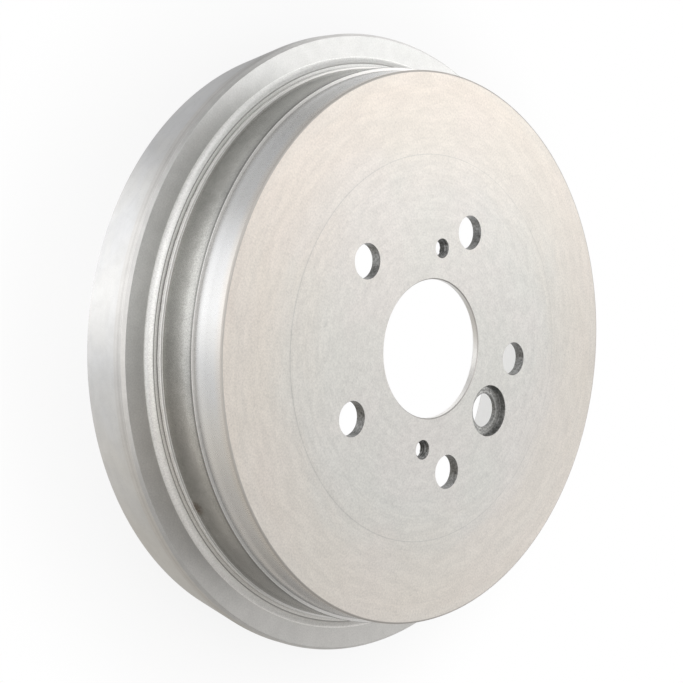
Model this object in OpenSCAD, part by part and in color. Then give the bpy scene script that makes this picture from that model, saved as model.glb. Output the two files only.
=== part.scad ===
// Brake drum: one iron casting, turned where it meets the hub, the wheel and the brake shoes.
// The axle is the Z axis. Z = 0 is the seat inside the drum that bolts against the hub.
// The wheel face lies above it and the open rim below, so the drum stands on its open rim.
// All sizes are in millimetres.

/* [Overall] */
// Height from the open rim to the wheel face
drum_h = 69.7; // [64:0.1:84]
// Diameter of the surface that the brake shoes rub on
friction_d = 228.6; // [224:0.1:254]

/* [Hub mounting] */
// Thickness of the web at the hub seat
web_t = 5.5; // [4.5:0.1:8]
// Bore that centres the drum on the hub
pilot_bore_d = 62; // [54:0.5:68]
// Chamfer at the pilot bore's outer mouth
pilot_chamfer = 0.45; // [0.2:0.05:0.8]
// Chamfer at the pilot bore's inner mouth, which clears the root of the hub
pilot_relief = 2.9; // [1:0.1:3.4]
// Diameter of the turned seat for the hub, inside the drum
hub_seat_d = 152; // [142:1:190]
// How much deeper the hub seat is cut than the cast inner side of the web
hub_seat_cut = 1; // [0.3:0.1:2]
// Diameter of the wheel seat, the slightly raised middle of the wheel face
wheel_seat_d = 171.6; // [146:0.2:200]
// How far the wheel seat stands above the face around it
wheel_seat_rise = 0.15; // [0.1:0.05:0.5]

/* [Wheel studs] */
// Circle on which the wheel studs stand
stud_circle_d = 114.3; // [108:0.1:120]
// Number of wheel studs
stud_count = 5; // [4:1:6]
// Hole that clears one wheel stud
stud_hole_d = 15.3; // [12.5:0.1:16.5]
// Chamfer at the inner mouth of each stud hole and of the adjuster hole
hole_chamfer = 0.8; // [0.3:0.1:1.2]

/* [Puller screw holes] */
// Circle of the two threaded holes, in which screws push the drum off its hub
puller_circle_d = 90; // [88:0.5:92]
// Turn of the first puller screw hole from the first stud hole, in degrees
puller_turn = 18; // [16:0.5:20]
// Diameter of a puller screw hole inside its thread
puller_hole_d = 6.8; // [5:0.1:7]
// Diameter of its countersink in the wheel face
puller_sink_d = 8.8; // [7.4:0.1:9.4]
// Diameter of its countersink in the hub seat
puller_back_sink_d = 9.4; // [7.4:0.1:9.6]

/* [Adjuster hole] */
// Circle on which the hole for the shoe adjuster lies
adjuster_circle_d = 100; // [99:0.5:101]
// Turn of the adjuster hole from the last stud hole, in degrees
adjuster_turn = 30.4; // [29.4:0.2:31.4]
// Diameter of the adjuster hole
adjuster_hole_d = 15.8; // [12:0.1:18]
// Diameter of the recess for the plug that closes the hole
adjuster_recess_d = 23.6; // [21:0.1:24]
// Depth of this recess
adjuster_recess_depth = 3; // [1.5:0.1:3.2]

/* [Barrel] */
// Wall of the turned barrel, between its outside and the friction surface
barrel_wall = 8.2; // [6:0.1:9]
// Length of the turned barrel
barrel_l = 15.7; // [14:0.1:18]
// Radius of the wheel face's outer edge
face_edge_r = 0.9; // [0.2:0.1:1.5]
// Height of the step from the turned barrel up to the cast barrel
step_h = 2.15; // [2.1:0.05:3]
// Radius in the foot of the step
step_root_r = 0.9; // [0.4:0.1:0.9]
// Radius on the edge of the step
step_edge_r = 1; // [0.4:0.1:1.1]
// Length of the cast barrel, from the step to the bead
cast_l = 17.9; // [16:0.1:20]
// How much the radius of the cast barrel grows from the step to the bead
cast_draft = 0.6; // [0:0.1:1]

/* [Bead and neck] */
// How far the bead stands above the end of the cast barrel
bead_h = 1.1; // [1:0.1:1.4]
// Width of the bead
bead_w = 2; // [1.6:0.1:2.6]
// Width of the small groove behind the bead
bead_groove_w = 0.5; // [0.4:0.1:1]
// Height of this groove's floor above the end of the cast barrel
bead_groove_h = 0.6; // [0.3:0.1:0.8]
// Width of the flat land between the groove and the edge of the neck
land_w = 2.2; // [1.6:0.1:3]
// Depth from the land down to the flange's face
neck_drop = 2.2; // [2:0.1:3]
// How much further out the foot of the neck lies than its edge
neck_splay = 0.9; // [0.6:0.1:1.2]

/* [Flange and rim] */
// How far the flange stands above the cast barrel
flange_h = 16.65; // [15.5:0.05:22]
// Width of the chamfer at the flange's edge, along the radius
flange_chamfer = 1.1; // [0.5:0.1:2]
// Depth of this chamfer, along the axle
flange_chamfer_depth = 1.5; // [0.5:0.1:2]
// Thickness of iron between the flange's face and the groove for the backing plate
flange_wall = 10.7; // [8:0.1:13]
// Width of the straight band behind the chamfer
band_w = 4.8; // [3:0.1:7]
// How much the outside of the rim draws in between the band and the open end
rim_draw = 4.9; // [0:0.1:5.4]
// Thickness of the rim at the open end
rim_t = 4.9; // [4:0.1:5.4]
// Radius of the edges at the open end
rim_edge_r = 0.5; // [0.2:0.1:1]

/* [Inside] */
// Distance from the inner side of the web to the friction surface
friction_start = 8; // [7:0.1:12]
// Depth of the run-out for the boring tool, beyond the friction surface
runout_depth = 1.2; // [0.5:0.1:1.6]
// Radius of the cast corner between the barrel and the web
inner_corner_r = 5; // [2:0.1:5.2]
// Wall between the friction surface and the groove for the backing plate
lip_wall = 8.2; // [7:0.1:9]
// How far the end of this wall stays inside the open rim
lip_set = 4.6; // [2:0.1:8]
// Chamfer that leads the shoes on to the friction surface
lip_chamfer = 1.2; // [0.5:0.1:2]
// How much each side of the groove draws in towards its floor
plate_groove_draw = 0.8; // [0.2:0.1:1]
// Radius in the corners of the groove's floor
plate_groove_r = 2.5; // [1:0.1:2.8]

/* [Hidden] */

$fn = 240;
// Sides of a drilled hole
hole_fn = 64;
// Steps in which a rounded corner is drawn
corner_steps = 8;
// How far a drill runs past the faces that it breaks through
overshoot = 1;
// Width of the slope at the edge of the wheel seat
seat_slope = 0.3;

// Radii, from the axle outwards
pilot_r = pilot_bore_d / 2;
friction_r = friction_d / 2;
runout_r = friction_r + runout_depth;
barrel_r = friction_r + barrel_wall;
groove_inner_r = friction_r + lip_wall;
cast_r = barrel_r + step_h;
cast_end_r = cast_r + cast_draft;
bead_r = cast_end_r + bead_h;
bead_groove_r = cast_end_r + bead_groove_h;
neck_r = bead_groove_r + land_w;
neck_foot_r = neck_r + neck_splay;
flange_r = cast_r + flange_h;
rim_r = flange_r - rim_draw;
groove_outer_r = rim_r - rim_t;

// Heights, from the wheel face down to the open rim
wheel_face_z = web_t;
outer_face_z = wheel_face_z - wheel_seat_rise;
web_inner_z = -hub_seat_cut;
friction_top_z = web_inner_z - friction_start;
step_z = wheel_face_z - barrel_l;
bead_z = step_z - cast_l;
bead_groove_z = bead_z - bead_w;
neck_z = bead_groove_z - bead_groove_w;
flange_z = neck_z - neck_drop;
band_z = flange_z - flange_chamfer_depth;
groove_floor_z = flange_z - flange_wall;
rim_z = wheel_face_z - drum_h;
lip_z = rim_z + lip_set;

// Small radii of the bead, its groove and the neck, which follow the width that is left for them
bead_edge_r = 0.45 * min(bead_h, bead_w);
bead_groove_edge_r = bead_groove_w / 4;
neck_edge_r = land_w / 10;

// Radius of the hollow between the neck and the flange, which takes most of the neck's slope
neck_slope_l = norm([neck_splay, neck_drop]);
neck_fillet_r = 0.9 * neck_slope_l / tan(atan2(neck_drop, neck_splay) / 2);

// Half section of the drum. Each corner is [radius, height, rounding].
section = concat(
    // Pilot bore and wheel face
    [
        [pilot_r, wheel_face_z - pilot_chamfer, 0],
        [pilot_r + pilot_chamfer, wheel_face_z, 0],
        [wheel_seat_d / 2, wheel_face_z, 0],
        [wheel_seat_d / 2 + seat_slope, outer_face_z, 0]
    ],
    // Turned barrel, step and cast barrel
    [
        [barrel_r, outer_face_z, face_edge_r],
        [barrel_r, step_z, step_root_r],
        [cast_r, step_z, step_edge_r],
        [cast_end_r, bead_z, bead_edge_r / 2]
    ],
    // Bead, small groove, land and neck
    [
        [bead_r, bead_z, bead_edge_r],
        [bead_r, bead_groove_z, bead_edge_r],
        [bead_groove_r, bead_groove_z - bead_groove_w / 2, bead_groove_edge_r],
        [bead_groove_r, neck_z, 0],
        [neck_r, neck_z, neck_edge_r],
        [neck_foot_r, flange_z, neck_fillet_r]
    ],
    // Flange, band and rim
    [
        [flange_r - flange_chamfer, flange_z, 0],
        [flange_r, band_z, 0],
        [flange_r, band_z - band_w, 0],
        [rim_r, rim_z, rim_edge_r],
        [groove_outer_r, rim_z, rim_edge_r]
    ],
    // Groove for the backing plate
    [
        [groove_outer_r - plate_groove_draw, groove_floor_z, plate_groove_r],
        [groove_inner_r + plate_groove_draw, groove_floor_z, plate_groove_r],
        [groove_inner_r, lip_z, rim_edge_r]
    ],
    // Friction surface, run-out and inner corner
    [
        [friction_r + lip_chamfer, lip_z, 0],
        [friction_r, lip_z + lip_chamfer, 0],
        [friction_r, friction_top_z, 0],
        [runout_r, friction_top_z + runout_depth, 0],
        [runout_r, web_inner_z, inner_corner_r]
    ],
    // Hub seat, back to the pilot bore
    [
        [hub_seat_d / 2 + hub_seat_cut, web_inner_z, 0],
        [hub_seat_d / 2, 0, 0],
        [pilot_r + pilot_relief, 0, 0],
        [pilot_r, pilot_relief, 0]
    ]
);

// Corner i of the section without its rounding; the count runs on from the last to the first
function spot(i) = [section[i % len(section)][0], section[i % len(section)][1]];

// Vector of length 1 along v
function unit(v) = v / norm(v);

// Points of the arc that rounds corner b, between its neighbours a and c, to radius r
function rounded(a, b, c, r) =
    let (
        back = unit(a - b),
        ahead = unit(c - b),
        half_angle = acos(back * ahead) / 2,
        sweep = 180 - 2 * half_angle,
        centre = b + unit(back + ahead) * r / sin(half_angle),
        first = b + back * r / tan(half_angle) - centre,
        last = b + ahead * r / tan(half_angle) - centre
    )
    [
        for (k = [0:corner_steps])
            let (turn = sweep * k / corner_steps)
                centre + (first * sin(sweep - turn) + last * sin(turn)) / sin(sweep)
    ];

// The section as one closed outline
outline = [
    for (i = [0:len(section) - 1])
        each section[i][2] == 0
            ? [spot(i)]
            : rounded(spot(i + len(section) - 1), spot(i), spot(i + 1), section[i][2])
];

// Places its children on a circle of diameter circle_d, turned from the first stud hole
module on_circle(circle_d, turn) {
    rotate([0, 0, 90 + turn])
        translate([circle_d / 2, 0, 0])
            children();
}

// A straight hole right through the web
module through_hole(d) {
    translate([0, 0, web_inner_z - overshoot])
        cylinder(d = d, h = wheel_face_z - web_inner_z + 2 * overshoot, $fn = hole_fn);
}

// A 45 degree countersink that is mouth_d wide at the wheel face
module outer_countersink(mouth_d) {
    reach = mouth_d / 2 + overshoot;
    translate([0, 0, wheel_face_z + overshoot - reach])
        cylinder(r1 = 0, r2 = reach, h = reach, $fn = hole_fn);
}

// A 45 degree countersink that is mouth_d wide at the hub seat
module inner_countersink(mouth_d) {
    reach = mouth_d / 2 + overshoot;
    translate([0, 0, -overshoot])
        cylinder(r1 = reach, r2 = 0, h = reach, $fn = hole_fn);
}

// Clearance hole for one wheel stud
module stud_hole() {
    through_hole(stud_hole_d);
    inner_countersink(stud_hole_d + 2 * hole_chamfer);
}

// Threaded hole for a puller screw, at the diameter inside its thread
module puller_hole() {
    through_hole(puller_hole_d);
    outer_countersink(puller_sink_d);
    inner_countersink(puller_back_sink_d);
}

// Hole through which the shoe adjuster is turned, with the recess for its plug
module adjuster_hole() {
    through_hole(adjuster_hole_d);
    inner_countersink(adjuster_hole_d + 2 * hole_chamfer);
    translate([0, 0, wheel_face_z - adjuster_recess_depth])
        cylinder(d = adjuster_recess_d, h = adjuster_recess_depth + overshoot, $fn = hole_fn);
}

// The casting as it comes off the lathe, before it is drilled
module turned_casting() {
    rotate_extrude()
        polygon(outline);
}

module brake_drum() {
    stud_pitch = 360 / stud_count;
    color([0.72, 0.71, 0.69])
        difference() {
            turned_casting();
            for (i = [0:stud_count - 1])
                on_circle(stud_circle_d, i * stud_pitch)
                    stud_hole();
            for (half_turn = [0, 180])
                on_circle(puller_circle_d, puller_turn + half_turn)
                    puller_hole();
            on_circle(adjuster_circle_d, -stud_pitch - adjuster_turn)
                adjuster_hole();
        }
}

brake_drum();
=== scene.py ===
# %% [markdown]
# # A cast iron brake drum
# This lesson dresses one piece: the drum that covers the shoes of a car's rear brake.
# It is cast in grey iron, and the surfaces that must be true are then turned on a lathe.
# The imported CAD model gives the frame, in metres. Its origin is the hub seat on the axle line,
# and +Z points out of the wheel face, so the drum stands on its open rim.
# The shape is made once more here as a finer mesh, because a close look needs smooth rounds,
# a rough cast bead and real threads, which a plain solid leaves out.

# %% Load the frame
import math

import bmesh
import bpy
from mathutils import Matrix, Vector, noise


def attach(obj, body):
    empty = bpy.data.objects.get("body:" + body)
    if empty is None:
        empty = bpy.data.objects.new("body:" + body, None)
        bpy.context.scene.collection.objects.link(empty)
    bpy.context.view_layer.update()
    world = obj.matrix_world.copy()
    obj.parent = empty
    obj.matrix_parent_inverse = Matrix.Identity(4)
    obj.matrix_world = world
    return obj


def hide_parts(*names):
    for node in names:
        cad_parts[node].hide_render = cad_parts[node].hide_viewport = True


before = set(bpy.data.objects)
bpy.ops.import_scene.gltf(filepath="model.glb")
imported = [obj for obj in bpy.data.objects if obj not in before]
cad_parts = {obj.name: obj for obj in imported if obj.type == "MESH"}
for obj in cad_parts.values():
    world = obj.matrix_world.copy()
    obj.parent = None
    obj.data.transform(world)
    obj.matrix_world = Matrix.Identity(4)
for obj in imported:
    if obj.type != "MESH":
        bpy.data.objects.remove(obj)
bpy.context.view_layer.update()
MM = 0.001

# %% [markdown]
# ## The section of the drum
# A turned part is best thought of as one outline that is spun about its axle.
# The outline below starts on the wheel face, runs over the barrel, the bead and the flange,
# round the open end, and back up the inside to the hub seat.
# Each corner is written as radius, height and rounding, in millimetres.
# The barrel widens softly just above its step, which one corner with a wide rounding does.
# The middle of the web has holes in it, so it isn't spun. It is filled in later.

# %% Corners of the section
WEB_RING = 70.0
WHEEL_FACE = 5.5
OUTER_FACE = 5.35
HUB_SEAT = 0.0
STEP_TOP = -10.2
BEAD_TOP = -28.1
FLANGE_FACE = -32.8
OPEN_RIM = -64.2
BARREL_RADIUS = 122.5
FRICTION_RADIUS = 114.3

face_and_barrel = [
    (WEB_RING, WHEEL_FACE, 0), (85.8, WHEEL_FACE, 0), (86.1, OUTER_FACE, 0),
    (BARREL_RADIUS, OUTER_FACE, 0.9), (BARREL_RADIUS, -5.6, 14), (123.25, STEP_TOP, 0)]
step_and_bead = [
    (124.65, STEP_TOP, 0.35), (125.2, BEAD_TOP, 0.2), (126.3, BEAD_TOP, 0.35),
    (126.3, -30.05, 0.6), (125.45, -30.35, 0.1), (125.45, -30.6, 0), (128.0, -30.6, 0.2)]
flange_and_rim = [
    (128.9, FLANGE_FACE, 3.15), (140.2, FLANGE_FACE, 0.2), (141.29, -34.3, 0.3),
    (141.29, -39.1, 0), (136.4, OPEN_RIM, 0.5), (131.5, OPEN_RIM, 0.5)]
plate_pocket = [(130.7, -43.5, 2.5), (123.3, -43.5, 2.5), (122.5, -59.6, 0.5)]
inside_of_drum = [
    (115.5, -59.6, 0.15), (FRICTION_RADIUS, -58.4, 0.15), (FRICTION_RADIUS, -9.0, 0),
    (115.5, -7.8, 0), (115.5, -1.0, 5.0), (77.0, -1.0, 0), (76.0, HUB_SEAT, 0),
    (WEB_RING, HUB_SEAT, 0)]
section = face_and_barrel + step_and_bead + flange_and_rim + plate_pocket + inside_of_drum
print("corners in the section:", len(section))

# %% [markdown]
# ## Rounding the corners
# A chain of edges can be rounded before it is spun: a bevel that works on vertices cuts each
# corner back along both of its edges and joins the cuts with an arc.
# That costs far less than bevelling long rings of edges after the spin.
# The cut is the rounding divided by the tangent of half the corner's angle.

# %% Draw the chain and round it
drum = bmesh.new()
chain = [drum.verts.new((radius * MM, 0, height * MM)) for radius, height, _ in section]
for one, other in zip(chain, chain[1:]):
    drum.edges.new((one, other))

for i, (_, _, rounding) in enumerate(section):
    if rounding == 0:
        continue
    back = (Vector(section[i - 1][:2]) - Vector(section[i][:2])).normalized()
    ahead = (Vector(section[i + 1][:2]) - Vector(section[i][:2])).normalized()
    half_angle = math.acos(back.dot(ahead)) / 2
    bmesh.ops.bevel(
        drum, geom=[chain[i]], affect="VERTICES", offset_type="OFFSET",
        offset=rounding * MM / math.tan(half_angle), segments=6 if rounding > 1 else 4,
        profile=0.5, material=-1)
print("points after rounding:", len(drum.verts))

# %% [markdown]
# ## Spinning the section
# Long straight stretches are divided first, so that no face is a thin sliver once the wire is
# spun, and so that the cast surfaces have points that can be moved a little.
# A full spin uses use_merge, which closes the last step on to the first.

# %% Divide the long edges and spin
STEPS = 480
STRETCH = 4.0 * MM
for edge in list(drum.edges):
    cuts = int(edge.calc_length() / STRETCH)
    if cuts:
        bmesh.ops.subdivide_edges(drum, edges=[edge], cuts=cuts)

bmesh.ops.spin(
    drum, geom=list(drum.verts) + list(drum.edges), axis=(0, 0, 1), cent=(0, 0, 0),
    angle=math.tau, steps=STEPS, use_merge=True, use_duplicate=False)
print("faces after the spin:", len(drum.faces))

# %% [markdown]
# ## The cast bead
# The bead and the land beside it are left as cast, so they waver a little, where every turned
# surface is true. Blender's noise is the same on every run. It pushes only the points of that
# band outwards or inwards, by up to a fifth of a millimetre.

# %% Roughen the bead
BEAD_RADII = (125.3 * MM, 131.3 * MM)
BEAD_HEIGHTS = (-32.5 * MM, -28.0 * MM)
WIDE_WAVES, WIDE_PUSH = 160, 0.10 * MM
FINE_WAVES, FINE_PUSH = 520, 0.12 * MM
moved = 0
for vert in drum.verts:
    radius = math.hypot(vert.co.x, vert.co.y)
    in_band = BEAD_HEIGHTS[0] < vert.co.z < BEAD_HEIGHTS[1]
    if not (in_band and BEAD_RADII[0] < radius < BEAD_RADII[1]):
        continue
    outward = Vector((vert.co.x, vert.co.y, 0)) / radius
    wide = noise.noise(vert.co * WIDE_WAVES)
    fine = noise.noise(vert.co * FINE_WAVES + Vector((7, 3, 1)))
    vert.co += outward * (WIDE_PUSH * wide + FINE_PUSH * fine)
    moved += 1
print("points moved on the bead:", moved)

# %% [markdown]
# ## Drilling the web
# Every hole is a stack of rings, from its mouth in the wheel face down to its mouth in the hub
# seat, with bridge_loops between one ring and the next.
# Cutting with booleans would leave long thin faces at the edges, and this leaves clean rings.

# %% Helpers for rings and walls
def ring(centre, radius, height, segments):
    """A circle of edges round centre, at that height, in millimetres."""
    place = Matrix.Translation((centre[0] * MM, centre[1] * MM, height * MM))
    made = bmesh.ops.create_circle(
        drum, cap_ends=False, radius=radius * MM, segments=segments, matrix=place)
    return list({edge for vert in made["verts"] for edge in vert.link_edges})


def bored(centre, stack, segments):
    """Walls between the rings of stack. Returns the edges of its first and last rings."""
    rings = [ring(centre, radius, height, segments) for radius, height in stack]
    for upper, lower in zip(rings, rings[1:]):
        bmesh.ops.bridge_loops(drum, edges=upper + lower)
    return rings[0], rings[-1]


def on_circle(radius, degrees):
    """A place in the web, from its distance to the axle line and its turn."""
    return radius * math.cos(math.radians(degrees)), radius * math.sin(math.radians(degrees))


# %% [markdown]
# ## The holes
# The bore in the middle centres the drum on its hub. The five stud holes clear the wheel studs,
# and the first one lies towards +Y. Two small threaded holes take screws that push the drum off.
# The last hole gives a tool access to the shoe adjuster, and it lies in a round recess.
# Each stack lists the radius and the height of its rings, so a chamfer is just one more ring.

# %% Bore every hole
STUD_CIRCLE, PULLER_CIRCLE, ADJUSTER_CIRCLE = 57.15, 45.0, 50.0
stud_places = [on_circle(STUD_CIRCLE, 90 + 72 * k) for k in range(5)]
puller_places = [on_circle(PULLER_CIRCLE, turn) for turn in (108, 288)]
adjuster_place = on_circle(ADJUSTER_CIRCLE, -12.4)

pilot_stack = [(31.45, 5.5), (31.0, 5.05), (31.0, 2.9), (33.9, 0)]
stud_stack = [(7.75, 5.5), (7.65, 5.4), (7.65, 0.8), (8.45, 0)]
puller_stack = [(4.4, 5.5), (4.1, 5.2), (4.1, 0.6), (4.7, 0)]
adjuster_stack = [
    (11.9, 5.5), (11.8, 5.4), (11.8, 2.75), (11.55, 2.5), (8.0, 2.5), (7.9, 2.4), (7.9, 0.8),
    (8.7, 0)]

mouths = [bored((0, 0), pilot_stack, 288)]
mouths += [bored(place, stud_stack, 96) for place in stud_places]
mouths += [bored(place, puller_stack, 64) for place in puller_places]
mouths.append(bored(adjuster_place, adjuster_stack, 128))
print("holes:", len(mouths))

# %% [markdown]
# ## Closing the web
# The web still lacks its two flat faces, on the wheel side and on the hub side.
# The rings at the mouths of the holes and the ring that the spin left open bound each of them.
# triangle_fill closes a flat face round any number of holes in one step.

# %% Fill the wheel face and the hub seat round the holes
def open_ring(height):
    """The edges that the spin left open on the web, at that height."""
    return [
        edge for edge in drum.edges
        if edge.is_boundary and all(
            abs(vert.co.z - height * MM) < 1e-6
            and abs(math.hypot(vert.co.x, vert.co.y) - WEB_RING * MM) < 1e-6
            for vert in edge.verts)]


for height, side in ((WHEEL_FACE, 0), (HUB_SEAT, 1)):
    rims = open_ring(height) + [edge for mouth in mouths for edge in mouth[side]]
    bmesh.ops.triangle_fill(drum, edges=rims, use_beauty=True, normal=(0, 0, 1))
bmesh.ops.recalc_face_normals(drum, faces=drum.faces)
print("open edges left:", sum(edge.is_boundary for edge in drum.edges))

# %% [markdown]
# ## Which surface has which finish
# The same casting shows several finishes: the turned wheel face, the turned barrel, the lower
# barrel, the cast bead, the flange, the turned rim, the drilled walls and the inside.
# Two narrow ledges, on the step and on top of the bead, are as bright as the pilot bore.
# A lathe works at one radius and one height at a time, so the place of a face and the way it
# points are enough to tell its finish. Each face gets the number of its finish.

# %% The kinds of finish and where they end
FACE, BARREL, LOWER, BEAD, FLANGE, RIM, DRILLED, BORE, RECESS, INSIDE, FRICTION = range(11)

# Heights and radii at which one finish ends and the next begins, in millimetres
PILOT_REACH = 34.5
RECESS_FLOOR_UNDER = 3
FRICTION_END = -58.5
FACE_OVER, FACE_REACH = 5.1, 121.55
POCKET_UNDER, POCKET_REACH, LIP_UNDER = -42, 131.6, -59
SHELL_FROM = 121.2
STEP_FOOT, LEDGE_FROM, LEDGE_TO = -10.4, 123, 126.5
LOWER_OVER, BEAD_REACH = -28, 131.4
FLANGE_OVER, FLANGE_REACH = -33, 140
print("kinds of finish:", FRICTION + 1)


# %% Helpers that tell a face's finish
def finish_in_web(middle, radius, facing):
    """The finish of a face in the middle of the web, where the holes are."""
    if facing.z > 0.9 and middle.z > WHEEL_FACE - 0.05:
        return FACE
    if facing.z < -0.9 and middle.z < HUB_SEAT + 0.05:
        return INSIDE
    if radius < PILOT_REACH:
        return BORE
    return RECESS if facing.z > 0.9 and middle.z < RECESS_FLOOR_UNDER else DRILLED


def on_ledge(middle, radius, facing):
    """Whether a face lies on the step or on top of the bead."""
    on_step = middle.z > STEP_FOOT and radius > LEDGE_FROM
    on_bead = abs(middle.z - BEAD_TOP) < 0.2
    return facing.z > 0.7 and (on_step or on_bead) and radius < LEDGE_TO


def finish_of(face):
    """The finish of one face, from its middle and its normal."""
    middle = face.calc_center_median() / MM
    radius = math.hypot(middle.x, middle.y)
    facing = face.normal
    faces_axle = facing.x * middle.x + facing.y * middle.y <= 0
    if radius < WEB_RING - 0.5:
        return finish_in_web(middle, radius, facing)
    if abs(radius - FRICTION_RADIUS) < 0.05 and middle.z > FRICTION_END:
        return FRICTION
    if middle.z > FACE_OVER and radius < FACE_REACH:
        return FACE
    if middle.z < POCKET_UNDER and radius < POCKET_REACH or faces_axle and facing.z < 0.3:
        return RIM if middle.z < LIP_UNDER else INSIDE
    if radius < SHELL_FROM:
        return INSIDE
    if on_ledge(middle, radius, facing):
        return BORE
    if middle.z > STEP_FOOT:
        return BARREL
    if middle.z > LOWER_OVER:
        return LOWER
    if radius < BEAD_REACH:
        return BEAD
    return FLANGE if middle.z > FLANGE_OVER and radius < FLANGE_REACH else RIM


# %% Sort the faces by finish
for face in drum.faces:
    face.material_index = finish_of(face)
    face.smooth = True
kinds = range(FRICTION + 1)
counts = [sum(face.material_index == kind for face in drum.faces) for kind in kinds]
print("faces by finish:", counts)

# %% [markdown]
# ## From bmesh to an object
# Edges that turn by more than 28 degrees stay sharp, and the steps of a rounding turn less.
# The Weighted Normal modifier lets wide flat faces rule the shading next to narrow ones, so the
# rounds catch the light and the flats stay flat.

# %% Make the drum's object
SHARP = math.radians(28)
for edge in drum.edges:
    edge.smooth = not (len(edge.link_faces) == 2 and edge.calc_face_angle() > SHARP)

drum_mesh = bpy.data.meshes.new("drum_casting")
drum.to_mesh(drum_mesh)
drum.free()
drum_piece = bpy.data.objects.new("drum_casting", drum_mesh)
bpy.context.scene.collection.objects.link(drum_piece)
weighted = drum_piece.modifiers.new("flat faces rule", "WEIGHTED_NORMAL")
weighted.mode = "FACE_AREA"
weighted.weight = 50
weighted.keep_sharp = True
print("triangles:", sum(len(face.vertices) - 2 for face in drum_mesh.polygons))

# %% [markdown]
# ## Threads in the puller holes
# Two screws can be driven into these holes to push the drum off its hub. A metric thread of
# 8 mm rises 1.25 mm in each turn. Its ridge is a small flat-topped tooth that spin carries round
# the hole and up at the same time, through the dvec setting.

# %% Wind the threads
PITCH = 1.25
TURN_STEPS = 48
TURNS = 3
THREAD_FOOT = 0.42
TOOTH = ((4.2, 0.0), (3.4, 0.44), (3.4, 0.6), (4.2, 1.04))
threads = bmesh.new()
for place in puller_places:
    before = set(threads.verts)
    tooth = [
        threads.verts.new((radius * MM, 0, (THREAD_FOOT + height) * MM))
        for radius, height in TOOTH]
    tooth_face = threads.faces.new(tooth)
    bmesh.ops.spin(
        threads, geom=tooth + list(tooth_face.edges) + [tooth_face], axis=(0, 0, 1),
        cent=(0, 0, 0), dvec=(0, 0, PITCH * MM / TURN_STEPS), angle=math.tau * TURNS,
        steps=TURN_STEPS * TURNS, use_merge=False, use_duplicate=False)
    wound = [vert for vert in threads.verts if vert not in before]
    bmesh.ops.translate(threads, verts=wound, vec=(place[0] * MM, place[1] * MM, 0))
bmesh.ops.recalc_face_normals(threads, faces=threads.faces)
threads_mesh = bpy.data.meshes.new("puller_threads")
threads.to_mesh(threads_mesh)
threads.free()
threads_piece = bpy.data.objects.new("puller_threads", threads_mesh)
bpy.context.scene.collection.objects.link(threads_piece)
print("thread faces:", len(threads_mesh.polygons))

# %% [markdown]
# ## Nodes by name
# A material is a small graph. These helpers add a node, set its plain inputs and wire the
# others, so that each material below reads as a list of steps.

# %% Helpers that add and wire nodes
def add(tree, kind, inputs=None, **settings):
    """Adds a node, sets its settings, and fills or wires its inputs."""
    node = tree.nodes.new(kind)
    for name, value in settings.items():
        setattr(node, name, value)
    for name, value in (inputs or {}).items():
        socket = node.inputs[name]
        if isinstance(value, bpy.types.NodeSocket):
            tree.links.new(value, socket)
        else:
            socket.default_value = value
    return node


def math_node(tree, operation, *values):
    """A Math node on up to three values. Returns its output."""
    return add(tree, "ShaderNodeMath", dict(enumerate(values)), operation=operation).outputs[0]


def vector_node(tree, operation, *values):
    """A Vector Math node. Returns the node, because some put out a number and some a vector."""
    return add(tree, "ShaderNodeVectorMath", dict(enumerate(values)), operation=operation)


def times(tree, one, other):
    """The product of two numbers."""
    return math_node(tree, "MULTIPLY", one, other)


def ramp(tree, value, low, high, smooth=True):
    """Maps value from low..high on to 0..1."""
    kind = "SMOOTHSTEP" if smooth else "LINEAR"
    node = add(
        tree, "ShaderNodeMapRange", {"Value": value, "From Min": low, "From Max": high},
        interpolation_type=kind)
    return node.outputs["Result"]


def past(tree, distance, start, end):
    """Rises from 0 to 1 while a distance goes from start to end, both in millimetres."""
    return ramp(tree, distance, start * MM, end * MM)


def between(tree, factor, low, high):
    """A number that runs from low to high with the factor."""
    node = add(
        tree, "ShaderNodeMapRange", {"Value": factor, "To Min": low, "To Max": high})
    return node.outputs["Result"]


# %% [markdown]
# ## Colours and places
# Colours are mixed by a mask, or multiplied to make them lighter or darker.
# Every pattern on the drum depends on three plain facts about a point: where it lies, how high
# it is over the hub seat, and how far it is from the axle line. Object coordinates give all of
# them, because the piece sits at the origin of the frame.

# %% Helpers for colours and places
def blend(tree, factor, one, other, blend_type="MIX"):
    """Mixes two colours."""
    node = tree.nodes.new("ShaderNodeMix")
    node.data_type = "RGBA"
    node.blend_type = blend_type
    for place, value in ((0, factor), (6, one), (7, other)):
        socket = node.inputs[place]
        if isinstance(value, bpy.types.NodeSocket):
            tree.links.new(value, socket)
        elif place == 0:
            socket.default_value = value
        else:
            socket.default_value = (*value, 1)
    return node.outputs[2]


def shaded_by(tree, colour, shade):
    """The colour, made lighter or darker by a number near 1."""
    grey = add(tree, "ShaderNodeCombineColor", {0: shade, 1: shade, 2: shade})
    return blend(tree, 1.0, colour, grey.outputs[0], "MULTIPLY")


def spot_in(tree):
    """Where a point lies on the piece, in metres."""
    return add(tree, "ShaderNodeTexCoord").outputs["Object"]


def height_in(tree):
    """How high a point is over the hub seat, in metres."""
    return add(tree, "ShaderNodeSeparateXYZ", {0: spot_in(tree)}).outputs[2]


def flat_in(tree):
    """Where a point lies, with its height left out."""
    return vector_node(tree, "MULTIPLY", spot_in(tree), (1, 1, 0)).outputs[0]


def from_axle_in(tree):
    """How far a point is from the axle line, in metres."""
    return vector_node(tree, "LENGTH", flat_in(tree)).outputs["Value"]


# %% [markdown]
# ## Groups
# An effect that several finishes share is built once, as a node group with named inputs.
# Each finish then places the group with its own values.

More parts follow.
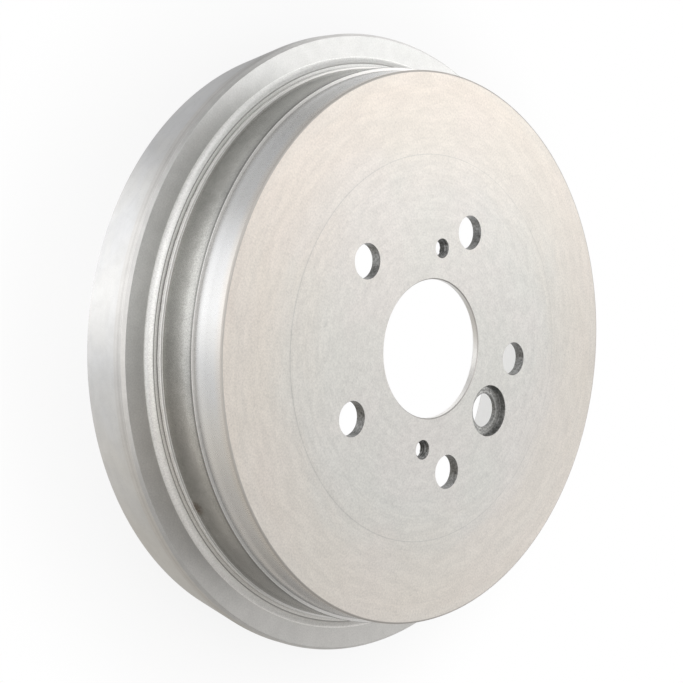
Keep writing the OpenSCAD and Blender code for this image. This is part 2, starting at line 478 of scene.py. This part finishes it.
# %% Helpers for groups
def new_group(name, inputs, outputs):
    """A node group with float inputs and the outputs that are named. Returns it with its ends."""
    group = bpy.data.node_groups.new(name, "ShaderNodeTree")
    for label, value in inputs.items():
        socket = group.interface.new_socket(label, in_out="INPUT", socket_type="NodeSocketFloat")
        socket.default_value = value
    for label in outputs:
        group.interface.new_socket(label, in_out="OUTPUT", socket_type="NodeSocketFloat")
    start = group.nodes.new("NodeGroupInput")
    end = group.nodes.new("NodeGroupOutput")
    return group, start, end


def use_group(tree, group, **inputs):
    """Places a group in a material, with that material's own values. Returns its outputs."""
    node = tree.nodes.new("ShaderNodeGroup")
    node.node_tree = group
    for label, value in inputs.items():
        node.inputs[label.replace("_", " ")].default_value = value
    return node.outputs


# %% [markdown]
# ## Turning marks
# A lathe tool leaves fine rings. They depend only on the distance to the centre and on the
# height, so a noise that reads just these two numbers draws rings on a face and lines round a
# barrel. A second, weak noise breaks the rings up, as light wear does.
# The centre is an input, because a cutter that sinks a recess leaves rings round its own centre.

# %% Group for turning marks
turning, ends_in, ends_out = new_group(
    "turning marks",
    {"Rings per metre": 1400.0, "Broken": 0.3, "Centre X": 0.0, "Centre Y": 0.0},
    ("Height", "Shade"))
xyz = add(turning, "ShaderNodeSeparateXYZ", {0: spot_in(turning)}).outputs
from_x = math_node(turning, "SUBTRACT", xyz[0], ends_in.outputs["Centre X"])
from_y = math_node(turning, "SUBTRACT", xyz[1], ends_in.outputs["Centre Y"])
squares = math_node(turning, "ADD", times(turning, from_x, from_x), times(turning, from_y, from_y))
from_centre = math_node(turning, "SQRT", squares)
across = add(turning, "ShaderNodeCombineXYZ", {0: from_centre, 1: xyz[2], 2: 0.0})
rings = add(
    turning, "ShaderNodeTexNoise",
    {"Vector": across.outputs[0], "Scale": ends_in.outputs["Rings per metre"], "Detail": 3.0,
     "Roughness": 0.6})
breaks = add(
    turning, "ShaderNodeTexNoise", {"Vector": spot_in(turning), "Scale": 900.0, "Detail": 2.0})
broken = times(
    turning, math_node(turning, "SUBTRACT", breaks.outputs["Fac"], 0.5),
    ends_in.outputs["Broken"])
mixed = math_node(turning, "ADD", rings.outputs["Fac"], broken)
turning.links.new(mixed, ends_out.inputs["Height"])
turning.links.new(ramp(turning, mixed, 0.25, 0.75, smooth=False), ends_out.inputs["Shade"])
print("group turning marks:", len(turning.nodes), "nodes")

# %% [markdown]
# ## Cast skin
# Sand leaves grey iron with small grains and a few pits. One detailed noise makes the grains,
# and the low end of a second, wider one makes the pits.

# %% Group for cast skin
cast_skin, ends_in, ends_out = new_group(
    "cast skin", {"Grain": 900.0, "Pits": 0.5}, ("Height", "Shade"))
grain = add(
    cast_skin, "ShaderNodeTexNoise",
    {"Vector": spot_in(cast_skin), "Scale": ends_in.outputs["Grain"], "Detail": 4.0,
     "Roughness": 0.65})
pit_noise = add(
    cast_skin, "ShaderNodeTexNoise",
    {"Vector": spot_in(cast_skin), "Scale": 420.0, "Detail": 1.0})
pits = times(
    cast_skin, ramp(cast_skin, pit_noise.outputs["Fac"], 0.36, 0.27), ends_in.outputs["Pits"])
skin = math_node(cast_skin, "SUBTRACT", grain.outputs["Fac"], pits)
cast_skin.links.new(skin, ends_out.inputs["Height"])
cast_skin.links.new(ramp(cast_skin, skin, 0.2, 0.8, smooth=False), ends_out.inputs["Shade"])
print("group cast skin:", len(cast_skin.nodes), "nodes")

# %% [markdown]
# ## Bloom
# Bare iron picks up faint clouds of warm and cool grey from handling and from its rust guard.
# This group gives one broad mask and one finer one, which the materials turn into tints.

# %% Group for bloom
bloom, ends_in, ends_out = new_group("bloom", {"Size": 22.0}, ("Broad", "Fine"))
broad = add(
    bloom, "ShaderNodeTexNoise",
    {"Vector": spot_in(bloom), "Scale": ends_in.outputs["Size"], "Detail": 3.0,
     "Distortion": 0.6})
fine_clouds = add(
    bloom, "ShaderNodeTexNoise",
    {"Vector": spot_in(bloom), "Scale": times(bloom, ends_in.outputs["Size"], 6.0),
     "Detail": 5.0, "Roughness": 0.6, "Distortion": 0.4})
bloom.links.new(ramp(bloom, broad.outputs["Fac"], 0.35, 0.65), ends_out.inputs["Broad"])
bloom.links.new(ramp(bloom, fine_clouds.outputs["Fac"], 0.35, 0.65), ends_out.inputs["Fine"])
print("group bloom:", len(bloom.nodes), "nodes")

# %% [markdown]
# ## Smears
# A wiped or handled face keeps long soft smears that follow its rings. The noise here reads the
# direction from the axle line, which changes slowly along a ring, and the distance from it,
# which changes fast across. Reading the direction as a vector leaves no seam.

# %% Group for smears
smears, ends_in, ends_out = new_group("smears", {"Long": 2.2, "Across": 75.0}, ("Mask",))
heading = vector_node(smears, "NORMALIZE", flat_in(smears))
along = add(
    smears, "ShaderNodeVectorMath", {0: heading.outputs[0], "Scale": ends_in.outputs["Long"]},
    operation="SCALE")
outwards = add(
    smears, "ShaderNodeCombineXYZ",
    {2: times(smears, from_axle_in(smears), ends_in.outputs["Across"])})
place = vector_node(smears, "ADD", along.outputs[0], outwards.outputs[0])
smear_noise = add(
    smears, "ShaderNodeTexNoise",
    {"Vector": place.outputs[0], "Scale": 1.0, "Detail": 3.0, "Roughness": 0.5,
     "Distortion": 0.2})
smears.links.new(ramp(smears, smear_noise.outputs["Fac"], 0.3, 0.72), ends_out.inputs["Mask"])
print("group smears:", len(smears.nodes), "nodes")

# %% [markdown]
# ## The finishes
# Every finish is iron, so each is a Principled shader with a high metallic value. They differ in
# tint, in roughness, and in which marks they carry. The rough ones get a lower metallic value,
# because grains and pits scatter light as dull stone does.
# One side of the drum has a faint brown stain, which several finishes share through a helper.

# %% Helpers for one finish
STAIN = (1.018, 1.0, 0.985)
BUMP_DEPTH = 0.1 * MM


def new_finish(name, metallic):
    """A material with a Principled shader. Returns it with its tree."""
    material = bpy.data.materials.new(name)
    material.use_nodes = True
    shader = material.node_tree.nodes["Principled BSDF"]
    shader.inputs["Metallic"].default_value = metallic
    return material, material.node_tree


def finish(material, colour, roughness, height, bump):
    """Wires colour, roughness and bump into the material's shader."""
    tree = material.node_tree
    shader = tree.nodes["Principled BSDF"]
    tree.links.new(colour, shader.inputs["Base Color"])
    tree.links.new(roughness, shader.inputs["Roughness"])
    node = add(
        tree, "ShaderNodeBump", {"Strength": bump, "Distance": BUMP_DEPTH, "Height": height})
    tree.links.new(node.outputs[0], shader.inputs["Normal"])
    print("finish", material.name, "has", len(tree.nodes), "nodes")


def stained(tree, colour):
    """The colour, with a faint brown on the side of the drum that lay towards -Y."""
    patches = add(
        tree, "ShaderNodeTexNoise", {"Vector": spot_in(tree), "Scale": 18.0, "Detail": 3.0})
    ragged = times(tree, math_node(tree, "SUBTRACT", patches.outputs["Fac"], 0.5), 60 * MM)
    y = add(tree, "ShaderNodeSeparateXYZ", {0: spot_in(tree)}).outputs[1]
    sideways = math_node(tree, "ADD", y, ragged)
    return blend(
        tree, past(tree, sideways, -60, -105), colour,
        blend(tree, 1.0, colour, STAIN, "MULTIPLY"))


# %% [markdown]
# ## The turned wheel face
# The face is turned and then handled. Its outer part is warmer than the seat in the middle, and
# long wipes follow its rings. A plain ramp over the distance from the axle line would draw a
# circle, so the wipes shift the ramp in and out, and the warmth ends as a ragged cloud.
# The wheel seat ends in a low edge, and a thin dark ring is painted along it.

# %% Colours of the wheel face
WARM_FROM, WARM_TO = 66, 112
WIPE_SHIFT = 18
SEAT_EDGE = ((85.6, 85.9), (86.0, 86.3))

face_finish, tree = new_finish("turned wheel face", 0.7)
clouds = use_group(tree, bloom, Size=20.0)
wiped = use_group(tree, smears, Long=1.5, Across=55.0)["Mask"]
from_axle = from_axle_in(tree)
wander = times(tree, math_node(tree, "SUBTRACT", wiped, 0.5), WIPE_SHIFT * MM)
warmth = past(tree, math_node(tree, "ADD", from_axle, wander), WARM_FROM, WARM_TO)
seat_colour = blend(tree, clouds["Broad"], (0.782, 0.774, 0.738), (0.800, 0.776, 0.746))
warm_colour = blend(tree, clouds["Broad"], (0.826, 0.772, 0.706), (0.834, 0.774, 0.714))
outer_colour = blend(tree, times(tree, wiped, 0.34), warm_colour, (0.782, 0.770, 0.732))
colour = blend(tree, warmth, seat_colour, outer_colour)

warm_side = vector_node(tree, "DOT_PRODUCT", spot_in(tree), (-0.87, 0.5, 0)).outputs["Value"]
colour = blend(
    tree, past(tree, warm_side, -30, 100), colour,
    blend(tree, 1.0, colour, (1.018, 1.0, 0.988), "MULTIPLY"))
# A thin dark ring is painted along the low edge of the seat.
dark_seat_ring = math_node(
    tree, "SUBTRACT", past(tree, from_axle, *SEAT_EDGE[0]), past(tree, from_axle, *SEAT_EDGE[1]))
colour = blend(tree, times(tree, dark_seat_ring, 0.32), colour, (0.45, 0.45, 0.43))

# %% [markdown]
# ## The marks of the wheel face
# Over these colours lie three sizes of mark: the rings of the tool, the fine specks of the iron,
# and short rubbed streaks. Each makes the colour a few per cent lighter or darker. Only the
# specks change the roughness, because clouds in the roughness show as blotches in a highlight.

# %% Marks of the wheel face
marks = use_group(tree, turning, Rings_per_metre=1500.0, Broken=0.5)
specks = use_group(tree, cast_skin, Grain=1150.0, Pits=0.1)
rubbed = use_group(tree, smears, Long=9.0, Across=330.0)["Mask"]
shade = times(
    tree, between(tree, marks["Shade"], 0.965, 1.03), between(tree, specks["Shade"], 0.85, 1.14))
shade = times(tree, shade, between(tree, rubbed, 0.962, 1.034))
finish(
    face_finish, shaded_by(tree, colour, shade), between(tree, specks["Shade"], 0.42, 0.46),
    marks["Height"], 0.12)

# %% [markdown]
# ## The turned barrel
# The barrel is the smoothest turned surface, so it mirrors the studio most sharply. Its tint is
# warmer beside the wheel face. Painted shade darkens its foot, where the surface curls out
# towards the step. The rounded front edge is a little duller from handling, and painted shade
# darkens it too.

# %% The barrel's finish
BESIDE_FACE = (0.0, 4.5)
SHADED_BARREL_FOOT = (-7.2, -9.8)
FRONT_EDGE = (4.3, 4.7)

barrel_finish, tree = new_finish("turned barrel", 0.9)
specks = use_group(tree, cast_skin, Grain=2000.0, Pits=0.2)
clouds = use_group(tree, bloom, Size=26.0)
height = height_in(tree)
colour = stained(
    tree, blend(tree, clouds["Broad"], (0.664, 0.666, 0.674), (0.686, 0.682, 0.674)))
colour = blend(
    tree, times(tree, past(tree, height, *BESIDE_FACE), 0.8), colour, (0.676, 0.640, 0.598))
# Painted shade at the foot of the barrel, near the step.
colour = blend(
    tree, times(tree, past(tree, height, *SHADED_BARREL_FOOT), 0.8), colour, (0.470, 0.468, 0.465))
colour = shaded_by(tree, colour, between(tree, specks["Shade"], 0.92, 1.06))
# The rounded front edge is rougher, and painted shade darkens its colour.
dull_and_shaded_edge = past(tree, height, *FRONT_EDGE)
colour = blend(tree, times(tree, dull_and_shaded_edge, 0.5), colour, (0.520, 0.490, 0.458))
roughness = math_node(
    tree, "ADD", between(tree, specks["Shade"], 0.25, 0.31), times(tree, dull_and_shaded_edge, 0.25))
finish(barrel_finish, colour, roughness, specks["Height"], 0.03)

# %% [markdown]
# ## The lower barrel
# Between the step and the bead the barrel is darker. Painted shade, from ramps over the height,
# darkens it more towards the bead and near the step, and paints one thin dark line under the step.
# A small spot of rust sits beside the bead. It is a mask on the distance from one point, and
# the grain of the skin breaks its edge up.

# %% The lower barrel's finish
SHADE_TOWARDS_BEAD = (-13, -26)
SHADE_TOWARDS_STEP = (-15.0, -11.2)
SHADE_LINE_UNDER_STEP = (-11.8, -10.8)
RUST_PLACE = (-70.9 * MM, -103.2 * MM, -26.5 * MM)
RUST_SIZE = (4.8, 1.0)

lower_finish, tree = new_finish("lower barrel", 0.9)
skin_marks = use_group(tree, cast_skin, Grain=1400.0, Pits=0.0)
clouds = use_group(tree, bloom, Size=30.0)
height = height_in(tree)
colour = blend(tree, clouds["Broad"], (0.530, 0.528, 0.506), (0.560, 0.555, 0.534))
# Painted shade: darker towards the bead, darker near the step, and a thin dark line under it.
colour = blend(tree, past(tree, height, *SHADE_TOWARDS_BEAD), colour, (0.335, 0.333, 0.316))
colour = blend(
    tree, times(tree, past(tree, height, *SHADE_TOWARDS_STEP), 0.7), colour, (0.400, 0.398, 0.384))
colour = blend(
    tree, times(tree, past(tree, height, *SHADE_LINE_UNDER_STEP), 0.7), colour, (0.150, 0.148, 0.140))

from_rust = vector_node(tree, "DISTANCE", spot_in(tree), RUST_PLACE).outputs["Value"]
rust = times(
    tree, past(tree, from_rust, *RUST_SIZE), between(tree, skin_marks["Shade"], 1.5, -0.2))
rust_mask = add(tree, "ShaderNodeClamp", {"Value": rust}).outputs[0]
colour = stained(tree, blend(tree, rust_mask, colour, (0.115, 0.075, 0.045)))
shade = times(
    tree, between(tree, skin_marks["Shade"], 0.76, 1.22), between(tree, clouds["Fine"], 0.95, 1.05))
finish(
    lower_finish, shaded_by(tree, colour, shade), between(tree, skin_marks["Shade"], 0.17, 0.25),
    skin_marks["Height"], 0.08)

# %% [markdown]
# ## The cast bead
# The bead and the hollow behind it keep their cast skin, which is pale, rough and grainy.
# The land between them is painted darker, for dirt and for the shade in that hollow. Two thin
# lines of painted shade run round the drum in its corners. Each line is a narrow range of
# distance from the axle line, kept below the bead.

# %% The bead's finish
LAND = ((-31.1, -30.7), (-30.4, -30.1))
SHADE_LINES_IN_CORNERS = ((125.35, 125.95), (127.45, 128.05))
LINE_FADE = 0.2
LINES_UNDER = (-29.6, -30.1)

bead_finish, tree = new_finish("cast bead", 0.6)
skin_marks = use_group(tree, cast_skin, Grain=1700.0, Pits=0.0)
clouds = use_group(tree, bloom, Size=30.0)
height = height_in(tree)
from_axle = from_axle_in(tree)
colour = blend(tree, clouds["Broad"], (0.910, 0.908, 0.885), (0.940, 0.936, 0.915))
on_land = math_node(
    tree, "SUBTRACT", past(tree, height, *LAND[0]), past(tree, height, *LAND[1]))
# The land is darker, for dirt and for painted shade in the hollow behind the bead.
colour = blend(tree, times(tree, on_land, 0.30), colour, (0.40, 0.40, 0.38))
# Two thin lines of painted shade, in the corners on either side of the land.
for inner, outer in SHADE_LINES_IN_CORNERS:
    line = times(
        tree, past(tree, from_axle, inner, inner + LINE_FADE),
        past(tree, from_axle, outer, outer - LINE_FADE))
    line = times(tree, line, past(tree, height, *LINES_UNDER))
    colour = blend(tree, times(tree, line, 0.75), colour, (0.16, 0.155, 0.145))
colour = shaded_by(tree, stained(tree, colour), between(tree, skin_marks["Shade"], 0.74, 1.20))
finish(
    bead_finish, colour, between(tree, skin_marks["Shade"], 0.32, 0.44), skin_marks["Height"],
    0.3)

# %% [markdown]
# ## The flange
# The face of the flange is skimmed flat and looks even, with a fine speckle. Two close greys
# mixed by broad clouds, and the specks on top, keep it from looking like paint.

# %% The flange's finish
flange_finish, tree = new_finish("flange", 0.85)
specks = use_group(tree, cast_skin, Grain=1400.0, Pits=0.0)
clouds = use_group(tree, bloom, Size=24.0)
colour = stained(
    tree, blend(tree, clouds["Broad"], (0.640, 0.640, 0.626), (0.664, 0.661, 0.646)))
shade = times(
    tree, between(tree, specks["Shade"], 0.86, 1.12), between(tree, clouds["Fine"], 0.97, 1.03))
finish(
    flange_finish, shaded_by(tree, colour, shade), between(tree, specks["Shade"], 0.30, 0.38),
    specks["Height"], 0.07)

# %% [markdown]
# ## The turned rim
# The outside of the rim is smooth and cool grey. The straight band behind the chamfer shows the
# lines of the tool, and the chamfer itself is pale and duller. All three lie at their own
# heights, so masks on the height keep them in one material.

# %% The rim's finish
BAND_FROM = (-39.3, -39.0)
CHAMFER_FROM = (-34.6, -34.3)

rim_finish, tree = new_finish("turned rim", 0.9)
specks = use_group(tree, cast_skin, Grain=1500.0, Pits=0.0)
marks = use_group(tree, turning, Rings_per_metre=900.0, Broken=0.1)
clouds = use_group(tree, bloom, Size=24.0)
height = height_in(tree)
colour = blend(tree, clouds["Broad"], (0.588, 0.591, 0.598), (0.610, 0.606, 0.596))
tool_lines = blend(tree, marks["Shade"], (0.470, 0.457, 0.443), (0.655, 0.645, 0.630))
colour = blend(tree, past(tree, height, *BAND_FROM), colour, tool_lines)
on_chamfer = past(tree, height, *CHAMFER_FROM)
colour = blend(tree, on_chamfer, colour, (0.715, 0.706, 0.692))
shade = times(
    tree, between(tree, specks["Shade"], 0.93, 1.05), between(tree, clouds["Fine"], 0.965, 1.03))
roughness = math_node(
    tree, "ADD", between(tree, specks["Shade"], 0.26, 0.34), times(tree, on_chamfer, 0.14))
finish(rim_finish, shaded_by(tree, colour, shade), roughness, specks["Height"], 0.05)

# %% [markdown]
# ## The drilled walls
# A drill tears grey iron a little and leaves dark walls with rings across the hole.
# The turning marks read the height too, so the same group draws these rings.

# %% The drilled walls' finish
drilled_finish, tree = new_finish("drilled wall", 0.85)
marks = use_group(tree, turning, Rings_per_metre=2600.0, Broken=1.2)
specks = use_group(tree, cast_skin, Grain=1300.0, Pits=0.4)
colour = blend(tree, marks["Shade"], (0.15, 0.15, 0.145), (0.34, 0.34, 0.335))
colour = shaded_by(tree, colour, between(tree, specks["Shade"], 0.6, 1.35))
finish(
    drilled_finish, colour, between(tree, specks["Shade"], 0.28, 0.42), specks["Height"], 0.4)

# %% [markdown]
# ## The pilot bore and the bright ledges
# The wall of the pilot bore is bored to size and bright, and so are the step and the top of the
# bead. One finish serves all three. At the mouth of the bore, the small chamfer is darker.

# %% The bored walls' finish
BORE_MOUTH = (4.9, 5.2)

bore_finish, tree = new_finish("bored wall", 0.7)
specks = use_group(tree, cast_skin, Grain=1500.0, Pits=0.1)
on_mouth = past(tree, height_in(tree), *BORE_MOUTH)
colour = blend(tree, times(tree, on_mouth, 0.7), (0.90, 0.885, 0.860), (0.42, 0.39, 0.37))
colour = shaded_by(tree, colour, between(tree, specks["Shade"], 0.88, 1.05))
finish(bore_finish, colour, between(tree, specks["Shade"], 0.30, 0.40), specks["Height"], 0.1)

# %% [markdown]
# ## The floor of the recess
# The cutter that sank the recess left strong rings round its own centre, pale on dark.
# This is the turning marks' group once more, with its centre moved on to the adjuster hole.

# %% The recess floor's finish
recess_finish, tree = new_finish("recess floor", 0.8)
marks = use_group(
    tree, turning, Rings_per_metre=1500.0, Broken=0.8, Centre_X=adjuster_place[0] * MM,
    Centre_Y=adjuster_place[1] * MM)
specks = use_group(tree, cast_skin, Grain=1100.0, Pits=0.3)
colour = blend(tree, marks["Shade"], (0.22, 0.22, 0.21), (0.74, 0.735, 0.715))
colour = shaded_by(tree, colour, between(tree, specks["Shade"], 0.65, 1.3))
finish(
    recess_finish, colour, between(tree, specks["Shade"], 0.30, 0.42), marks["Height"], 0.4)

# %% [markdown]
# ## The inside of the drum
# The inside stays as it came out of the sand, so it has the coarsest grain, the most pits and
# the dullest shine.

# %% The inside's finish
inside_finish, tree = new_finish("cast inside", 0.6)
skin_marks = use_group(tree, cast_skin, Grain=800.0, Pits=0.7)
clouds = use_group(tree, bloom, Size=26.0)
colour = blend(tree, clouds["Broad"], (0.50, 0.50, 0.48), (0.58, 0.575, 0.55))
finish(
    inside_finish, colour, between(tree, skin_marks["Shade"], 0.46, 0.60),
    skin_marks["Height"], 0.35)

# %% [markdown]
# ## The friction surface
# The shoes rub on this wall. It is bored last and to the closest size, so it is the palest
# surface, with fine unbroken rings. It is seen from below and through the holes.

# %% The friction surface's finish
friction_finish, tree = new_finish("friction surface", 0.8)
marks = use_group(tree, turning, Rings_per_metre=1900.0, Broken=0.15)
colour = blend(tree, marks["Shade"], (0.89, 0.888, 0.876), (0.94, 0.936, 0.925))
finish(
    friction_finish, colour, between(tree, marks["Shade"], 0.30, 0.38), marks["Height"], 0.15)

# %% [markdown]
# ## Putting the finishes on
# The list below has the same order as the numbers that the faces got. The threads are cut in a
# drilled wall, so they take its finish. Both pieces stand for the one CAD node and ride on it.

# %% Give the drum and its threads their finishes
finishes = (
    face_finish, barrel_finish, lower_finish, bead_finish, flange_finish, rim_finish,
    drilled_finish, bore_finish, recess_finish, inside_finish, friction_finish)
for material in finishes:
    drum_mesh.materials.append(material)
threads_mesh.materials.append(drilled_finish)

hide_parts("brake_drum")
for piece in (drum_piece, threads_piece):
    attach(piece, "root")
print("finishes on the drum:", len(drum_mesh.materials))

# %% [markdown]
# ## The floor
# The drum stands on a plain white floor, which is one large sheet.

# %% The floor's sheet
FLOOR_SIZE = 6.0
floor_mesh = bpy.data.meshes.new("floor")
floor_build = bmesh.new()
bmesh.ops.create_grid(
    floor_build, x_segments=1, y_segments=1, size=FLOOR_SIZE / 2,
    matrix=Matrix.Translation((0, 0, OPEN_RIM * MM)))
floor_build.to_mesh(floor_mesh)
floor_build.free()
floor = bpy.data.objects.new("floor", floor_mesh)
bpy.context.scene.collection.objects.link(floor)
print("floor size in metres:", FLOOR_SIZE)

# %% [markdown]
# ## What the drum mirrors
# Turned metal shows little of its own colour. What models it is the light and dark that it
# mirrors, so a studio sets pale and dark cards round it. Here the floor does that: reflections
# see a brightness that changes with the turn round the drum, slightly warm on the near side.
# Each entry gives the turn in degrees, the brightness and the share of warmth. The first and
# the last are the same, so that the round closes without a seam.

# %% The cards round the drum
FLOOR_SHINE = 1.65
SHINE_ROUND = {
    0: (0.56, 0), 45: (0.70, 0), 80: (0.82, 0), 105: (0.66, 0), 133: (0.31, 0), 150: (0.39, 0),
    165: (0.435, 0), 180: (0.88, 0), 195: (0.99, 0), 210: (0.58, 0), 225: (0.50, 0.7),
    240: (0.40, 1), 270: (0.32, 1), 315: (0.40, 0.4), 360: (0.56, 0)}
LESS_GREEN, LESS_BLUE = 0.04, 0.11

floor_paint = bpy.data.materials.new("white floor")
floor_paint.use_nodes = True
tree = floor_paint.node_tree
tree.nodes.clear()
xyz = add(tree, "ShaderNodeSeparateXYZ", {0: spot_in(tree)}).outputs
turn = math_node(tree, "ARCTAN2", xyz[1], xyz[0])
turn_round = math_node(tree, "FRACT", math_node(tree, "DIVIDE", turn, math.tau))
shine_round = add(tree, "ShaderNodeValToRGB", {"Fac": turn_round})
shine_round.color_ramp.interpolation = "LINEAR"
stops = shine_round.color_ramp.elements
while len(stops) < len(SHINE_ROUND):
    stops.new(0.5)
for element, (degrees, (shine, warm)) in zip(stops, sorted(SHINE_ROUND.items())):
    element.position = degrees / 360
    green = shine * (1 - LESS_GREEN * warm)
    blue = shine * (1 - LESS_BLUE * warm)
    element.color = (shine, green, blue, 1)
print("stops round the drum:", len(stops))

# %% [markdown]
# ## What the camera sees of the floor
# The camera sees the floor plain white, which gives the clean background of a catalogue picture.
# Close to the drum a share of the floor's real shading is left in, so that the drum keeps its
# soft shadow. Seen from below, the floor is clear, so that the inside can be looked at.

# %% The floor's paint
SHADOW_SEEN = 0.14
SHADOW_STARTS = (118, 128)
SHADOW_ENDS = (215, 142)
path = add(tree, "ShaderNodeLightPath").outputs
from_axle = from_axle_in(tree)
near_drum = times(
    tree, past(tree, from_axle, *SHADOW_STARTS), past(tree, from_axle, *SHADOW_ENDS))
seen = math_node(tree, "ADD", path["Is Camera Ray"], path["Is Transmission Ray"])
plain_share = math_node(tree, "SUBTRACT", 1.0, times(tree, near_drum, SHADOW_SEEN))
shaded = add(tree, "ShaderNodeBsdfDiffuse", {"Color": (0.9, 0.9, 0.9, 1)})
white = add(tree, "ShaderNodeEmission", {"Color": (1, 1, 1, 1), "Strength": 1.0})
mirrored = add(
    tree, "ShaderNodeEmission", {"Color": shine_round.outputs["Color"], "Strength": FLOOR_SHINE})
above = add(
    tree, "ShaderNodeMixShader",
    {0: times(tree, seen, plain_share), 1: shaded.outputs[0], 2: white.outputs[0]})
above = add(
    tree, "ShaderNodeMixShader",
    {0: path["Is Glossy Ray"], 1: above.outputs[0], 2: mirrored.outputs[0]})
clear = add(tree, "ShaderNodeBsdfTransparent")
back_side = add(tree, "ShaderNodeNewGeometry").outputs["Backfacing"]
both = add(
    tree, "ShaderNodeMixShader", {0: back_side, 1: above.outputs[0], 2: clear.outputs[0]})
end = add(tree, "ShaderNodeOutputMaterial")
tree.links.new(both.outputs[0], end.inputs["Surface"])
floor_mesh.materials.append(floor_paint)
print("floor paint has", len(tree.nodes), "nodes")

# %% [markdown]
# ## The world
# Past the floor's edge the camera sees the world, which is as white as the floor.
# For reflections and for soft light it is much dimmer, so that the panels do the lighting.

# %% The white world
WORLD_SOFT = 0.3
world = bpy.data.worlds.new("studio")
world.use_nodes = True
bpy.context.scene.world = world
tree = world.node_tree
tree.nodes.clear()
path = add(tree, "ShaderNodeLightPath").outputs
seen = math_node(tree, "ADD", path["Is Camera Ray"], path["Is Transmission Ray"])
strength = between(tree, seen, WORLD_SOFT, 1.0)
sky = add(tree, "ShaderNodeBackground", {"Color": (1, 1, 1, 1), "Strength": strength})
end = add(tree, "ShaderNodeOutputWorld")
tree.links.new(sky.outputs[0], end.inputs["Surface"])
print("world strength for soft light:", WORLD_SOFT)

# %% [markdown]
# ## Soft lights
# Large square panels stand round the drum, as in a small studio. Each is given by its turn round
# the drum and its height in degrees, its width in metres and its power, all at one distance.
# The low panels light the barrel and the rim, and the high ones light the wheel face.
# Three panels on the near side are slightly warm, as the light on that side of the drum is.

# %% The table of panels
PANEL_DISTANCE = 1.1
PANELS = {
    "front low": (0, 12, 0.6, 1.2),
    "front high": (0, 40, 0.6, 0.5),
    "front side": (45, 40, 0.6, 1.9),
    "side low": (72, 12, 0.6, 0.3),
    "side high": (90, 40, 0.6, 0.6),
    "back high": (135, 40, 0.6, 0.8),
    "left low": (180, 12, 1.0, 2.1),
    "left high": (180, 40, 0.6, 1.2),
    "left top": (180, 68, 0.7, 0.6),
    "near low": (216, 12, 0.6, 0.8),
    "near high": (225, 40, 0.6, 0.6),
    "right high": (270, 40, 0.6, 0.4),
    "top": (0, 90, 0.7, 1.3),
}
WARM_PANELS = ("near low", "near high", "right high")
PLAIN_LIGHT = (1, 1, 1)
WARM_LIGHT = (1.0, 0.965, 0.915)
print("panels:", len(PANELS), "total power:", round(sum(row[3] for row in PANELS.values()), 1))


# %% Set up the panels
def add_panel(name, turn, height, width, power):
    """A square lamp that looks at the drum from that turn and height. The camera doesn't see it."""
    turn, height = math.radians(turn), math.radians(height)
    towards = Vector((
        math.cos(turn) * math.cos(height), math.sin(turn) * math.cos(height), math.sin(height)))
    data = bpy.data.lights.new(name, "AREA")
    data.shape = "SQUARE"
    data.size = width
    data.energy = power
    data.color = WARM_LIGHT if name in WARM_PANELS else PLAIN_LIGHT
    lamp = bpy.data.objects.new(name, data)
    lamp.location = towards * PANEL_DISTANCE
    lamp.rotation_euler = towards.to_track_quat("Z", "Y").to_euler()
    lamp.visible_camera = False
    bpy.context.scene.collection.objects.link(lamp)


for name, (turn, height, width, power) in PANELS.items():
    add_panel(name, turn, height, width, power)
print("lamps in the scene:", len(bpy.data.lights))

# %% [markdown]
# ## The camera
# The photograph shows the drum from its wheel side, with the axle line pointing to the right.
# So the camera looks down at the standing drum from half height and lies on its side.
# Its place, its turn and its lens were worked out from the round edges in the picture.

# %% The camera
IMAGE_WIDTH = 683
FOCAL_PIXELS = 1563.5
SENSOR_WIDTH = 36.0
CAMERA_PLACE = (-0.487821, -0.174060, 0.470295)
camera_data = bpy.data.cameras.new("camera")
camera_data.sensor_width = SENSOR_WIDTH
camera_data.lens = SENSOR_WIDTH * FOCAL_PIXELS / IMAGE_WIDTH
camera_data.clip_start = 10 * MM
camera = bpy.data.objects.new("camera", camera_data)
right = Vector((0.640350, 0.311855, 0.701925))
up = Vector((-0.387638, 0.920158, -0.055180))
camera_turn = Matrix((right, up, right.cross(up))).transposed().to_4x4()
camera.matrix_world = Matrix.Translation(CAMERA_PLACE) @ camera_turn
bpy.context.scene.collection.objects.link(camera)
bpy.context.scene.camera = camera
bpy.context.scene.view_settings.view_transform = "Standard"
print("lens in mm:", round(camera_data.lens, 2))
